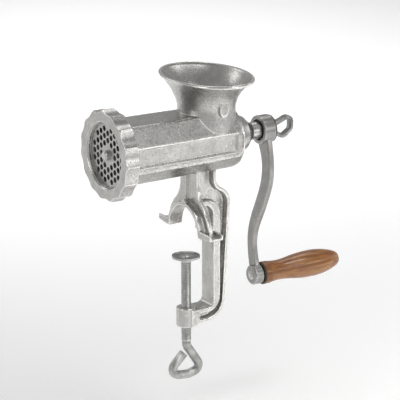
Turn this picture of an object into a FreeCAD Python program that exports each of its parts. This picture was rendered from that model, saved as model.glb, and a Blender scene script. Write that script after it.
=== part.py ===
import FreeCAD, Part
import math
import os

# Hand cranked meat grinder that clamps to a table edge. Millimetres, +Z up.
# The origin lies on the clamp screw's axis, in the plane of the table top.
# +X runs along the barrel towards the crank, and -Y is the side with the oval boss.

Vector = FreeCAD.Vector
X_AXIS = Vector(1, 0, 0)
Y_AXIS = Vector(0, 1, 0)
Z_AXIS = Vector(0, 0, 1)

# Clearances
running_clearance = 0.05        # radial play of a shaft, screw or pin that turns
face_clearance = 0.1            # play between flat faces that turn on each other
free_clearance = 0.3            # between moving pieces that don't bear on each other

# Barrel, an eight-sided casting along X
barrel_axis_height = 71.2       # above the table top
barrel_collar_front = -66.9     # front face of the threaded collar, from the clamp axis
collar_radius = 30.0
collar_length = 6.4
collar_cone_length = 3.5
barrel_body_length = 98.5
barrel_front_half_width = 23.9  # from the middle plane to a side
barrel_rear_half_width = 23.1
# Corners of one side of the body's section: distance from the middle plane and height over the axis
FRONT_CORNERS = (
    (15.9, 23.3),
    (barrel_front_half_width, 7.8),
    (barrel_front_half_width, -12.2),
    (9.8, -23.9),
)
REAR_CORNERS = (
    (15.1, 22.4),
    (barrel_rear_half_width, 7.4),
    (barrel_rear_half_width, -11.4),
    (9.4, -23.1),
)
barrel_edge_radius = 2.5
barrel_core_radius = 23.0       # solid of revolution inside the body
rear_trim_length = 15.4         # over which a cone cuts the body's corners down to the rear rim
barrel_bore_radius = 20.0
knife_chamber_radius = 22.0
knife_chamber_length = 7.1
panel_front_margin = 4.2        # from the body's front end to the recessed panel
panel_rear_margin = 4.2         # from the panel's rear bevel to the body's rear end
panel_end_bevel = 2.4
panel_top = 6.9                 # above the barrel's axis
panel_floor_bottom = -5.8
panel_bottom = -8.0
panel_depth = 1.3
panel_end_depth = 0.05          # left at the end of a bevel
rear_rim_radius = 24.3
rear_rim_length = 1.4
rear_dome_radius = 16.8
rear_shoulder_radius = 13.7
rear_shoulder_length = 11.6
rear_nose_length = 7.5
rear_bulge = 0.4                # how far the shoulder's and the nose's curves leave a straight cone
neck_radius = 7.0
neck_length = 10.5

# Hopper, a flared oval funnel
hopper_rear_margin = 18.7       # from the hopper's axis to the barrel's rear rim
throat_radius = 22.7
hopper_wall = 3.2
throat_top = 27.0               # height over the barrel's axis where the flare starts
hopper_height = 49.9            # rim's centre line over the barrel's axis
rim_half_length = 32.5          # along X
rim_half_width = 46.3           # along Y
rim_bead_radius = 1.5
flare_straight_share = 0.35     # share of the flare that grows evenly with the height
flare_power = 2.4               # how late the rest of the flare opens
boss_half_width = 4.0
boss_half_height = 6.0
boss_height_over_axis = 28.0
boss_face_offset = 25.9         # from the hopper's axis plane to the boss's face

# Leg plate, arch and feet
leg_front = 2.5
leg_thickness = 3.6
column_half_width = 11.9
column_channel_half_width = 4.0
column_channel_depth = 1.5
leg_knee_height = 38.0          # where the column starts to spread
# Half width and height over the table on the way from the knee to the foot
LEG_SPREAD = ((13.9, 30.0), (18.0, 24.0), (24.8, 16.5))
leg_end_half_width = 30.5
arch_radius = 20.5
arch_rim_thickness = 3.0
arch_front = -2.4
arch_depth = 12.2
arch_node_radius = 2.4          # small knob on top of the arch
near_foot_reach = 38.6
far_foot_reach = 36.4
foot_height = 5.7
foot_flat_width = 6.0
foot_underside_rise = 1.3
foot_pocket_wall = 1.8
foot_pocket_floor = 1.6

# Clamp frame, an I-shaped spine with a lower arm
spine_half_width = 8.75
flange_thickness = 2.8
inner_flange_thickness = 6.2
web_half_thickness = 2.25
flange_column_distance = 22.8   # from the clamp axis to the outer flange's outer face beside the column
# Outer flange's outer face: distance from the clamp axis, height and direction of its normal in degrees
# Heights over the table
FLANGE_SWEEP = (
    (flange_column_distance, 40.0, 18.0),
    (24.2, 36.0, 34.0),
    (28.0, 32.6, 52.0),
    (34.0, 26.7, 34.0),
    (35.7, 20.0, 10.0),
)
# Heights over the underside
FLANGE_FOOT = ((31.0, 18.8, -5.0), (26.5, 6.5, -45.0), (14.0, 0.3, -76.0))
spine_inner_x = 19.9            # face of the inner flange, from the clamp axis
inner_bend_radius = 5.0
# Inner flange's upper end, which bends forward to the legs: inside and outside curve
SHOULDER_INSIDE = ((19.9, 12.0), (17.6, 17.9), (11.6, 20.5))
SHOULDER_OUTSIDE = ((26.1, 14.0), (22.6, 21.0), (15.9, 23.8))
arm_top_depth = 63.3            # top of the lower arm below the table top
arm_thickness = 3.5
frame_depth = 74.8              # underside of the outer flange below the table top
screw_boss_radius = 7.8
screw_boss_top_depth = 61.8
screw_boss_length = 15.5
arm_end_reach = 7.2             # from the clamp axis to where the arm's solid end starts
arm_end_bottom_depth = 76.8
arm_end_round = 4.0

# Clamp screw, its plate and rivet
screw_radius = 3.9
screw_loop_wire = 3.5
screw_loop_top_depth = 93.7
# Corners of the loop's middle line: distance from the screw's axis and depth below the loop's top
SCREW_LOOP = ((0.0, 0.0), (14.1, 21.2), (1.7, 24.5), (-7.9, 23.5), (-16.1, 19.4), (-2.6, 6.2))
screw_loop_bend_radius = 5.0
plate_radius = 11.0
plate_floor_radius = 6.6
plate_depth = 22.2              # underside of the plate's floor below the table top
plate_thickness = 1.6
plate_rim_rise = 1.0
plate_hub_radius = 4.8
plate_hub_length = 1.0
plate_spigot_radius = 2.6
rivet_head_radius = 4.0
rivet_head_height = 1.2
rivet_shank_radius = 1.5
rivet_shank_length = 5.0

# Cutting set and ring nut
disc_seat_depth = 3.5
disc_radius = 27.0
disc_thickness = 5.0
disc_hole_radius = 2.15
disc_hole_pitch = 5.69
disc_solid_centre_radius = 8.5  # no holes inside it
disc_hole_field_radius = 22.6   # no hole centres outside it
key_pin_radius = 1.5
key_pin_length = 6.0
key_pin_embedding = 3.2
nut_radius = 35.6
nut_scallop_radius = 33.4       # at the middle of a scallop, from the nut's axis
nut_ridges = 15
nut_first_ridge_angle = 15.0    # from +Y towards +Z
nut_lip_thickness = 4.0
nut_depth = 11.8
nut_opening_radius = 24.5
nut_opening_chamfer = 1.5
nut_edge_round = 1.2
knife_thickness = 6.5
knife_tip_radius = 21.5
knife_hub_radius = 8.5
knife_blade_width = 7.5
knife_blade_back_width = 4.5
knife_blade_count = 4
stud_square = 9.0
stud_pin_radius = 4.0
stud_pin_recess = 0.1           # from the nut's front plane to the pin's tip
stud_pin_chamfer = 1.2
stud_root_radius = 4.4
stud_root_length = 14.0

# Feed screw and drive shaft
feed_core_radius = 9.0
feed_flight_radius = 19.4
feed_flight_pitch = 30.0
feed_flight_thickness = 4.0
feed_flight_widening = 1.6      # how many times thicker the flight is at its root
feed_flight_rooting = 1.5
thrust_washer_radius = 12.0
thrust_washer_thickness = 1.5
shaft_radius = 5.0
shaft_depth_in_feed_screw = 22.0
shaft_square = 8.0
bush_wall = 1.0

# Crank
hub_radius = 11.35
hub_length = 10.5
hub_counterbore_radius = 8.4
hub_counterbore_depth = 4.0
neck_entry = 2.5                # how far the barrel's neck stands in the hub
crank_drop = 121.5              # from the shaft's axis down to the grip's axis
crank_sideways = 8.0            # from the shaft's axis to the grip's axis, along +Y
arm_bar_setback = 2.2           # from the hub's front face to the bar's front face
arm_bar_thickness = 5.1
arm_bar_round = 1.4
lower_boss_radius = 7.9
lower_boss_length = 8.8
lower_boss_lead = 0.5           # how far the boss stands in front of the hub
# Bar outline: share of the drop, sideways offset of its middle, width along Y
ARM_STATIONS = (
    (0.05, -2.5, 15.6),
    (0.13, -5.6, 13.6),
    (0.22, -7.9, 11.8),
    (0.33, -6.9, 12.1),
    (0.46, -0.9, 12.0),
    (0.58, 6.1, 11.8),
    (0.69, 11.9, 9.7),
    (0.78, 13.8, 8.5),
    (0.86, 13.0, 8.8),
    (0.95, 10.4, 10.2),
)
hub_edge_round = 0.8
lower_boss_edge_round = 1.6

# Wing screw and its washer
wing_washer_radius = 10.8
wing_washer_thickness = 1.0
wing_screw_radius = 3.0
wing_screw_engagement = 10.8
wing_head_radius = 4.4
wing_head_length = 2.2
wing_strap_thickness = 3.2
wing_strap_width = 6.0
wing_strap_round = 1.2
# Corners of the strap's middle line: distance from the head's front face and height over the screw's axis
WING_LOOP = ((1.1, 1.9), (19.4, 8.7), (19.2, -3.0), (11.5, -8.3), (1.1, -1.9))
wing_loop_bend_radius = 4.0

# Wooden grip and its spindle
spindle_radius = 3.0
spindle_root_radius = 2.5
spindle_rivet_radius = 3.6
spindle_rivet_height = 1.1
spindle_washer_radius = 8.5
spindle_washer_thickness = 1.0
grip_length = 71.6
grip_collar_radius = 9.1
grip_collar_length = 5.0
grip_undercut_radius = 8.35     # halfway between the collar and the waist
grip_waist_radius = 8.0
grip_waist_position = 15.0
grip_swell_radius = 9.5         # halfway between the waist and the belly
grip_belly_radius = 10.8
grip_belly_position = 44.0
grip_end_radius = 6.0
grip_shoulder_radius = 8.8
grip_shoulder_position = 63.5
end_washer_radius = 5.0
end_washer_thickness = 1.2
end_cap_height = 0.9

# Places along X that follow from the sizes above
barrel_body_front = barrel_collar_front + collar_length
barrel_body_rear = barrel_body_front + barrel_body_length
rear_shoulder_end = barrel_body_rear + rear_rim_length + rear_shoulder_length
neck_start = rear_shoulder_end + rear_nose_length
neck_end = neck_start + neck_length
hopper_x = barrel_body_rear - hopper_rear_margin
disc_rear = barrel_collar_front + disc_seat_depth
disc_front = disc_rear - disc_thickness
nut_front = disc_front - face_clearance - nut_lip_thickness
knife_front = disc_rear + free_clearance
feed_front = knife_front + knife_thickness
feed_rear = barrel_body_rear - thrust_washer_thickness - face_clearance
hub_front = neck_end - neck_entry
hub_floor = hub_front + hub_counterbore_depth
hub_rear = hub_front + hub_length
shaft_end = hub_rear - free_clearance
bar_front = hub_front + arm_bar_setback
lower_boss_front = hub_front - lower_boss_lead
lower_boss_rear = lower_boss_front + lower_boss_length
wing_head_front = hub_rear + wing_washer_thickness
grip_start = lower_boss_rear + spindle_washer_thickness + face_clearance
grip_end = grip_start + grip_length
grip_axis_height = barrel_axis_height - crank_drop
leg_rear = leg_front + leg_thickness
frame_bottom = -frame_depth
screw_boss_top = -screw_boss_top_depth
screw_boss_bottom = screw_boss_top - screw_boss_length
plate_bottom = -plate_depth
plate_top = plate_bottom + plate_thickness

# How far a cutting tool runs past the faces that it cuts
OVERRUN = 1.0
# An oval section needs its longer axis to be the longer one, also where it is nearly round
LEAST_OVALNESS = 0.001
# Points closer than this are the same point
SAME_POINT = 1e-6


def rod_x(radius, x_from, x_to, y=0.0, z=barrel_axis_height):
    """Cylinder along X."""
    return Part.makeCylinder(radius, x_to - x_from, Vector(x_from, y, z), X_AXIS)


def rod_z(radius, z_from, z_to, x=0.0, y=0.0):
    """Cylinder along Z."""
    return Part.makeCylinder(radius, z_to - z_from, Vector(x, y, z_from), Z_AXIS)


def block(x_from, x_to, y_from, y_to, z_from, z_to):
    """Box between two corners."""
    return Part.makeBox(x_to - x_from, y_to - y_from, z_to - z_from, Vector(x_from, y_from, z_from))


def square_bar_x(side, x_from, x_to):
    """Square bar on the barrel's axis."""
    half = side / 2
    return block(x_from, x_to, -half, half, barrel_axis_height - half, barrel_axis_height + half)


def outline(start, *steps):
    """Closed wire. A step is the end of a straight line, or the middle and end of an arc."""
    edges = []
    here = start
    for step in steps:
        if isinstance(step, tuple):
            middle, there = step
            edges.append(Part.Arc(here, middle, there).toShape())
        else:
            there = step
            edges.append(Part.LineSegment(here, there).toShape())
        here = there
    if here.distanceToPoint(start) > SAME_POINT:
        edges.append(Part.LineSegment(here, start).toShape())
    return Part.Wire(edges)


def xz(x, z):
    """Point in the middle plane of the grinder."""
    return Vector(x, 0, z)


def plate_between(wire, y_from, y_to):
    """Flat plate with an outline in the XZ plane."""
    face = Part.Face(wire)
    face.translate(Vector(0, y_from, 0))
    return face.extrude(Vector(0, y_to - y_from, 0))


def turned_x(wire, y=0.0, z=barrel_axis_height):
    """Solid turned about an axis along X. The outline's z is the radius."""
    solid = Part.Face(wire).revolve(Vector(0, 0, 0), X_AXIS, 360)
    solid.translate(Vector(0, y, z))
    return solid


def turned_z(wire):
    """Solid turned about the clamp axis. The outline's x is the radius."""
    return Part.Face(wire).revolve(Vector(0, 0, 0), Z_AXIS, 360)


def fused(solids):
    """One solid from overlapping ones."""
    whole = solids[0].fuse(solids[1:])
    return whole.removeSplitter()


def rounded_path(points, bend_radius):
    """Open wire of straight runs joined by tangent arcs."""
    edges = []
    here = points[0]
    for before, corner, after in zip(points, points[1:], points[2:]):
        back = (before - corner).normalize()
        ahead = (after - corner).normalize()
        half_angle = back.getAngle(ahead) / 2
        trim = bend_radius / math.tan(half_angle)
        inward = (back + ahead).normalize()
        centre = corner + inward * (bend_radius / math.sin(half_angle))
        arc_start = corner + back * trim
        arc_end = corner + ahead * trim
        edges.append(Part.LineSegment(here, arc_start).toShape())
        edges.append(Part.Arc(arc_start, centre - inward * bend_radius, arc_end).toShape())
        here = arc_end
    edges.append(Part.LineSegment(here, points[-1]).toShape())
    return Part.Wire(edges)


def barrel_half_width(x):
    """Distance from the axis to a flat of the barrel, which tapers to the rear."""
    share = (x - barrel_body_front) / barrel_body_length
    return barrel_front_half_width + share * (barrel_rear_half_width - barrel_front_half_width)


def barrel_section(x, corners):
    """Eight-sided outline of the barrel across its axis, with rounded edges."""
    bottom = Vector(x, 0, barrel_axis_height + corners[-1][1])
    points = [bottom]
    for half_width, height in reversed(corners):
        points.append(Vector(x, half_width, barrel_axis_height + height))
    for half_width, height in corners:
        points.append(Vector(x, -half_width, barrel_axis_height + height))
    points.append(bottom)
    return rounded_path(points, barrel_edge_radius)


def barrel_envelope():
    """The barrel's casting without its hollows."""
    body = Part.makeLoft(
        [barrel_section(barrel_body_front, FRONT_CORNERS), barrel_section(barrel_body_rear, REAR_CORNERS)],
        True,
        True,
    )
    trim = turned_x(outline(
        xz(barrel_body_front - OVERRUN, 0),
        xz(barrel_body_front - OVERRUN, collar_radius),
        xz(barrel_body_rear - rear_trim_length, collar_radius),
        xz(barrel_body_rear, rear_rim_radius),
        xz(barrel_body_rear, 0),
    ))
    rear_rim_end = barrel_body_rear + rear_rim_length
    shoulder_middle = xz(
        (rear_rim_end + rear_shoulder_end) / 2,
        (rear_dome_radius + rear_shoulder_radius) / 2 + rear_bulge,
    )
    nose_middle = xz(
        rear_shoulder_end + rear_nose_length / 2,
        (rear_shoulder_radius + neck_radius) / 2 - rear_bulge,
    )
    turned = turned_x(outline(
        xz(barrel_collar_front, 0),
        xz(barrel_collar_front, collar_radius),
        xz(barrel_body_front, collar_radius),
        xz(barrel_body_front + collar_cone_length, barrel_core_radius),
        xz(barrel_body_rear, barrel_bore_radius),
        xz(barrel_body_rear, rear_rim_radius),
        xz(rear_rim_end, rear_rim_radius),
        xz(rear_rim_end, rear_dome_radius),
        (shoulder_middle, xz(rear_shoulder_end, rear_shoulder_radius)),
        (nose_middle, xz(neck_start, neck_radius)),
        xz(neck_end, neck_radius),
        xz(neck_end, 0),
    ))
    return body.common(trim).fuse(turned)


def panel_recess(side):
    """Cutter for the bare recessed panel on one side of the barrel."""
    panel_front = barrel_body_front + panel_front_margin
    panel_rear = barrel_body_rear - panel_rear_margin

    def section(x, depth):
        surface = barrel_half_width(x)
        slope = (panel_floor_bottom - panel_bottom) / panel_depth
        outside = surface + OVERRUN
        floor = surface - depth
        rows = (
            (outside, panel_top),
            (floor, panel_top),
            (floor, panel_floor_bottom - (panel_depth - depth) * slope),
            (surface, panel_bottom),
            (outside, panel_bottom),
        )
        points = [Vector(x, side * y, barrel_axis_height + z) for y, z in rows]
        return outline(*points)

    sections = [
        section(panel_front, panel_end_depth),
        section(panel_front + panel_end_bevel, panel_depth),
        section(panel_rear - panel_end_bevel, panel_depth),
        section(panel_rear, panel_end_depth),
    ]
    return Part.makeLoft(sections, True, True)


def key_pin_rod(radius, x_from, x_to):
    """Rod at the key pin's place, at the bottom of the disc's edge."""
    return rod_x(radius, x_from, x_to, 0.0, barrel_axis_height - disc_radius + key_pin_radius / 2)


def barrel_housing():
    """Eight-sided barrel with its threaded collar, disc seat, bore and rear neck."""
    chamber_end = disc_rear + knife_chamber_length
    bush_radius = shaft_radius + running_clearance + bush_wall
    throat_inside = throat_radius - hopper_wall
    throat_end = barrel_axis_height + 2 * barrel_front_half_width
    pin_floor = disc_rear + key_pin_embedding
    cutters = [
        rod_x(disc_radius + running_clearance, barrel_collar_front - OVERRUN, disc_rear),
        rod_x(knife_chamber_radius, disc_rear - OVERRUN, chamber_end),
        rod_x(barrel_bore_radius, chamber_end - OVERRUN, barrel_body_rear),
        rod_x(bush_radius, barrel_body_rear - OVERRUN, neck_end + OVERRUN),
        rod_z(throat_inside, barrel_axis_height, throat_end, hopper_x),
        key_pin_rod(key_pin_radius, pin_floor - key_pin_length, pin_floor),
        panel_recess(-1),
        panel_recess(1),
    ]
    return barrel_envelope().cut(cutters)


def flare_share(height_share):
    """How much of the flare is reached at a share of its height."""
    late_share = 1 - flare_straight_share
    return flare_straight_share * height_share + late_share * height_share ** flare_power


def oval(z, inset, flare):
    """Oval section of the funnel, drawn in by the wall's thickness."""
    along_x = throat_radius + flare * (rim_half_length - throat_radius) - inset
    along_y = throat_radius + flare * (rim_half_width - throat_radius) - inset + LEAST_OVALNESS
    centre = Vector(hopper_x, 0, barrel_axis_height + z)
    ellipse = Part.Ellipse(centre + Vector(0, along_y, 0), centre + Vector(along_x, 0, 0), centre)
    return Part.Wire(ellipse.toShape())


def funnel(inset, top_overrun):
    """Solid flare from the throat to the rim."""
    stations = 6
    rise = hopper_height - throat_top
    sections = []
    for index in range(stations):
        share = index / (stations - 1)
        sections.append(oval(throat_top + share * rise, inset, flare_share(share)))
    flare = Part.makeLoft(sections, True, False)
    throat = Part.Face(oval(throat_top, inset, 0.0)).extrude(Vector(0, 0, -throat_top))
    solids = [flare, throat]
    if top_overrun:
        top = Part.Face(oval(hopper_height, inset, 1.0))
        solids.append(top.extrude(Vector(0, 0, top_overrun)))
    return solids[0].fuse(solids[1:])


def rim_bead():
    """Round bead along the funnel's rim."""
    path = oval(hopper_height, rim_bead_radius, 1.0)
    start = path.Edges[0].valueAt(path.Edges[0].FirstParameter)
    heading = path.Edges[0].tangentAt(path.Edges[0].FirstParameter)
    section = Part.Wire(Part.makeCircle(rim_bead_radius, start, heading))
    return path.makePipeShell([section], True, True)


def feed_hopper(envelope):
    """Funnel that stands on the barrel, with a rolled rim and a plain oval boss."""
    boss_centre = Vector(hopper_x, -boss_face_offset, barrel_axis_height + boss_height_over_axis)
    boss_oval = Part.Ellipse(
        boss_centre + Vector(0, 0, boss_half_height),
        boss_centre + Vector(boss_half_width, 0, 0),
        boss_centre,
    )
    boss = Part.Face(Part.Wire(boss_oval.toShape())).extrude(Vector(0, hopper_wall + 2 * OVERRUN, 0))
    outside = funnel(0.0, 0.0).fuse([rim_bead(), boss])
    return outside.cut([envelope, funnel(hopper_wall, 4 * rim_bead_radius)])


def leg_plate():
    """Flat plate of the column and the two legs, seen from the front."""

    def edge(side):
        spread = [Vector(leg_front, side * half_width, height) for half_width, height in LEG_SPREAD]
        return (
            Vector(leg_front, side * column_half_width, barrel_axis_height),
            Vector(leg_front, side * column_half_width, leg_knee_height),
            spread[0],
            spread[1],
            spread[2],
            Vector(leg_front, side * leg_end_half_width, foot_height / 2),
        )

    top, knee, upper, middle, lower, end = edge(1)
    far_top, far_knee, far_upper, far_middle, far_lower, far_end = edge(-1)
    wire = outline(
        top,
        knee,
        (upper, middle),
        (lower, end),
        far_end,
        (far_lower, far_middle),
        (far_upper, far_knee),
        far_top,
    )
    plate = Part.Face(wire).extrude(Vector(leg_thickness, 0, 0))
    channel = block(
        leg_front - OVERRUN,
        leg_front + column_channel_depth,
        -column_channel_half_width,
        column_channel_half_width,
        arch_radius,
        barrel_axis_height,
    )
    return plate.cut(channel)


def foot(side, reach):
    """Foot like a tray that is open to the side, with an underside that rises outwards."""
    inner = arch_radius - OVERRUN
    flat_end = arch_radius + foot_flat_width
    wire = outline(
        Vector(arch_front, side * inner, 0),
        Vector(arch_front, side * flat_end, 0),
        Vector(arch_front, side * reach, foot_underside_rise),
        Vector(arch_front, side * reach, foot_height),
        Vector(arch_front, side * inner, foot_height),
    )
    solid = Part.Face(wire).extrude(Vector(arch_depth, 0, 0))
    pocket_ends = sorted((side * (arch_radius + arch_rim_thickness), side * (reach + OVERRUN)))
    pocket = block(
        arch_front + foot_pocket_wall,
        arch_front + arch_depth - foot_pocket_wall,
        pocket_ends[0],
        pocket_ends[1],
        foot_underside_rise + foot_pocket_floor,
        foot_height + OVERRUN,
    )
    return solid.cut(pocket)


def flange_line(inset):
    """Outer flange's route from the barrel to the lower arm, drawn in by an inset."""

    def drawn_in(x, z, normal):
        direction = math.radians(normal)
        return xz(x - inset * math.cos(direction), z - inset * math.sin(direction))

    sweep = [drawn_in(x, height, normal) for x, height, normal in FLANGE_SWEEP]
    foot_rows = [drawn_in(x, frame_bottom + rise, normal) for x, rise, normal in FLANGE_FOOT]
    return (
        xz(flange_column_distance - inset, barrel_axis_height),
        sweep[0],
        (sweep[1], sweep[2]),
        (sweep[3], sweep[4]),
        foot_rows[0],
        (foot_rows[1], foot_rows[2]),
        xz(0, frame_bottom + inset),
    )


def reversed_steps(line):
    """The same route run from its end to its start."""
    steps = []
    for step, before in zip(line[:0:-1], line[-2::-1]):
        before_end = before[1] if isinstance(before, tuple) else before
        if isinstance(step, tuple):
            steps.append((step[0], before_end))
        else:
            steps.append(before_end)
    return steps


def outer_flange():
    """Band round the back of the spine and under the arm."""
    outside = flange_line(0.0)
    inside = flange_line(flange_thickness)
    wire = outline(outside[0], *outside[1:], inside[-1], *reversed_steps(inside))
    return plate_between(wire, -spine_half_width, spine_half_width)


def inner_flange():
    """Thick band on the clamp side of the spine, from the legs down to the top of the arm."""
    arm_top = -arm_top_depth
    bend = inner_bend_radius
    turn = bend * (1 - math.sqrt(0.5))
    spine_rear = spine_inner_x + inner_flange_thickness
    inside_low, inside_middle, inside_high = [xz(x, height) for x, height in SHOULDER_INSIDE]
    outside_low, outside_middle, outside_high = [xz(x, height) for x, height in SHOULDER_OUTSIDE]
    wire = outline(
        inside_high,
        (inside_middle, inside_low),
        xz(spine_inner_x, arm_top + bend),
        (xz(spine_inner_x - turn, arm_top + turn), xz(spine_inner_x - bend, arm_top)),
        xz(0, arm_top),
        xz(0, arm_top - arm_thickness),
        xz(spine_inner_x - bend / 2, arm_top - arm_thickness),
        (xz(spine_rear - bend / 2, arm_top + bend / 4), xz(spine_rear, arm_top + 2 * bend)),
        outside_low,
        (outside_middle, outside_high),
        xz(leg_front, outside_high.z),
        xz(leg_front, inside_high.z),
    )
    return plate_between(wire, -spine_half_width, spine_half_width)


def web():
    """Thin wall between the leg plate, the two flanges and the arm."""
    route = flange_line(flange_thickness / 2)
    arm_middle = -arm_top_depth - arm_thickness / 2
    spine_middle = spine_inner_x + inner_flange_thickness / 2
    leg_middle = (leg_front + leg_rear) / 2
    wire = outline(
        route[0],
        *route[1:],
        xz(0, arm_middle),
        xz(spine_middle - inner_bend_radius, arm_middle),
        xz(spine_middle, arm_middle + 2 * inner_bend_radius),
        xz(spine_middle, 0),
        xz(leg_middle, 0),
        xz(leg_middle, barrel_axis_height),
    )
    return plate_between(wire, -web_half_thickness, web_half_thickness)


def arm_end():
    """Solid end of the lower arm beside the screw boss."""
    bottom = -arm_end_bottom_depth
    turn = arm_end_round * (1 - math.sqrt(0.5))
    wire = outline(
        xz(0, -arm_top_depth),
        xz(arm_end_reach, -arm_top_depth),
        xz(arm_end_reach, bottom + arm_end_round),
        (xz(arm_end_reach - turn, bottom + turn), xz(arm_end_reach - arm_end_round, bottom)),
        xz(0, bottom),
    )
    return plate_between(wire, -spine_half_width, spine_half_width)


def clamp_casting(envelope):
    """Casting under the barrel: legs, feet, spine, arm and screw boss."""
    arch_rear = arch_front + arch_depth
    arch_outside = arch_radius + arch_rim_thickness
    arch_ring = rod_x(arch_outside, arch_front, arch_rear, 0.0, 0.0)
    below = block(
        arch_front - OVERRUN,
        arch_rear + OVERRUN,
        -2 * arch_outside,
        2 * arch_outside,
        -2 * arch_outside,
        0,
    )
    casting = fused([
        leg_plate(),
        arch_ring.cut(below),
        rod_x(arch_node_radius, arch_front, leg_rear, 0.0, arch_outside),
        foot(-1, near_foot_reach),
        foot(1, far_foot_reach),
        outer_flange(),
        inner_flange(),
        web(),
        arm_end(),
        rod_z(screw_boss_radius, screw_boss_bottom, screw_boss_top),
    ])
    return casting.cut([
        envelope,
        rod_x(arch_radius, arch_front - OVERRUN, arch_rear, 0.0, 0.0),
        rod_z(screw_radius + running_clearance, screw_boss_bottom - OVERRUN, screw_boss_top + OVERRUN),
    ])


def legs_space():
    """Space between the arch's two faces, from the feet up to the barrel."""
    reach = max(near_foot_reach, far_foot_reach) + OVERRUN
    return block(
        arch_front - OVERRUN,
        arch_front + arch_depth,
        -reach,
        reach,
        -OVERRUN,
        barrel_axis_height,
    )


def support_legs(casting):
    """Front half of the casting: column, legs, arch and feet."""
    return casting.common(legs_space())


def clamp_frame(casting):
    """Rear half of the casting: spine, arm and screw boss."""
    return casting.cut(legs_space())


def shaft_bush():
    """Plain bearing bush pressed into the neck."""
    inside = shaft_radius + running_clearance
    sleeve = rod_x(inside + bush_wall, barrel_body_rear, neck_end)
    return sleeve.cut(rod_x(inside, barrel_body_rear - OVERRUN, neck_end + OVERRUN))


def thrust_washer():
    """Washer between the feed screw and the barrel's rear wall."""
    front = barrel_body_rear - thrust_washer_thickness
    disc = rod_x(thrust_washer_radius, front, barrel_body_rear)
    return disc.cut(rod_x(shaft_radius + running_clearance, front - OVERRUN, barrel_body_rear + OVERRUN))


def disc_key_pin():
    """Pin pressed into the disc seat, which keeps the hole disc from turning."""
    end = disc_rear + key_pin_embedding
    return key_pin_rod(key_pin_radius, end - key_pin_length, end)


def feed_screw():
    """Screw that feeds the meat forward, with a hole for the shaft and one for the stud."""
    core = rod_x(feed_core_radius, feed_front, feed_rear)
    length = feed_rear - feed_front
    root = feed_core_radius - feed_flight_rooting
    helix = Part.makeLongHelix(feed_flight_pitch, length + feed_flight_pitch, root)
    reach = feed_flight_radius + OVERRUN
    half = feed_flight_thickness / 2
    section = outline(
        Vector(root, 0, -half * feed_flight_widening),
        Vector(reach, 0, -half),
        Vector(reach, 0, half),
        Vector(root, 0, half * feed_flight_widening),
    )
    right_handed = Part.Wire(helix.Edges).makePipeShell([section], True, True)
    flight = right_handed.mirror(Vector(0, 0, 0), Y_AXIS)
    flight.rotate(Vector(0, 0, 0), Y_AXIS, 90)
    flight.translate(Vector(feed_front - feed_flight_pitch / 2, 0, barrel_axis_height))
    trimmed = flight.common(rod_x(feed_flight_radius, feed_front, feed_rear))
    return core.fuse(trimmed).cut([
        rod_x(stud_root_radius, feed_front - OVERRUN, feed_front + stud_root_length),
        rod_x(shaft_radius, feed_rear - shaft_depth_in_feed_screw, feed_rear + OVERRUN),
    ])


def knife_stud():
    """Stud in the feed screw, square through the knife and round through the disc."""
    tip = nut_front + stud_pin_recess
    pin = turned_x(outline(
        xz(tip, 0),
        xz(tip, stud_pin_radius - stud_pin_chamfer),
        xz(tip + stud_pin_chamfer, stud_pin_radius),
        xz(knife_front, stud_pin_radius),
        xz(knife_front, 0),
    ))
    return fused([
        rod_x(stud_root_radius, feed_front, feed_front + stud_root_length),
        square_bar_x(stud_square, knife_front, feed_front),
        pin,
    ])


def drive_shaft():
    """Shaft from the feed screw to the crank, with a square end and a tapped hole."""
    start = feed_rear - shaft_depth_in_feed_screw
    round_limit = rod_x(shaft_radius, hub_floor, shaft_end)
    square = square_bar_x(shaft_square, hub_floor, shaft_end).common(round_limit)
    whole = fused([rod_x(shaft_radius, start, hub_floor), square])
    thread_end = wing_head_front - wing_washer_thickness - wing_screw_engagement
    return whole.cut(rod_x(
        wing_screw_radius + running_clearance,
        thread_end - free_clearance,
        shaft_end + OVERRUN,
    ))


def cutting_knife():
    """Knife with sloping blades on a square hole."""
    hub = rod_x(knife_hub_radius, knife_front, feed_front)
    half = knife_blade_width / 2
    section = outline(
        Vector(knife_front, -half, 0),
        Vector(knife_front, half, 0),
        Vector(feed_front, knife_blade_back_width - half, 0),
        Vector(feed_front, -half, 0),
    )
    blade = Part.Face(section).extrude(Vector(0, 0, knife_tip_radius + OVERRUN))
    blade.translate(Vector(0, 0, barrel_axis_height))
    blades = []
    for index in range(knife_blade_count):
        turned = blade.copy()
        turned.rotate(Vector(0, 0, barrel_axis_height), X_AXIS, index * 360 / knife_blade_count)
        blades.append(turned)
    sweep = rod_x(knife_tip_radius, knife_front, feed_front)
    hole = square_bar_x(stud_square + 2 * running_clearance, knife_front - OVERRUN, feed_front + OVERRUN)
    return hub.fuse(blades).common(sweep).cut(hole).removeSplitter()


def disc_hole_centres():
    """Centres of the disc's holes, in upright columns of a triangular grid."""
    column_step = disc_hole_pitch * math.sqrt(3) / 2
    columns = int(disc_hole_field_radius / column_step)
    rows = int(disc_hole_field_radius / disc_hole_pitch) + 1
    centres = []
    for column in range(-columns, columns + 1):
        for row in range(-rows, rows + 1):
            y = column * column_step
            z = (row + 0.5 * (column % 2)) * disc_hole_pitch
            distance = math.hypot(y, z)
            if disc_solid_centre_radius < distance < disc_hole_field_radius:
                centres.append((y, z))
    return centres


def hole_disc():
    """Disc full of round holes, with a notch for the key pin."""
    disc = rod_x(disc_radius, disc_front, disc_rear)
    cutters = [
        rod_x(stud_pin_radius + running_clearance, disc_front - OVERRUN, disc_rear + OVERRUN),
        key_pin_rod(key_pin_radius + free_clearance, disc_front - OVERRUN, disc_rear + OVERRUN),
    ]
    for y, z in disc_hole_centres():
        height = barrel_axis_height + z
        cutters.append(rod_x(disc_hole_radius, disc_front - OVERRUN, disc_rear + OVERRUN, y, height))
    return disc.cut(cutters)


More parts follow.
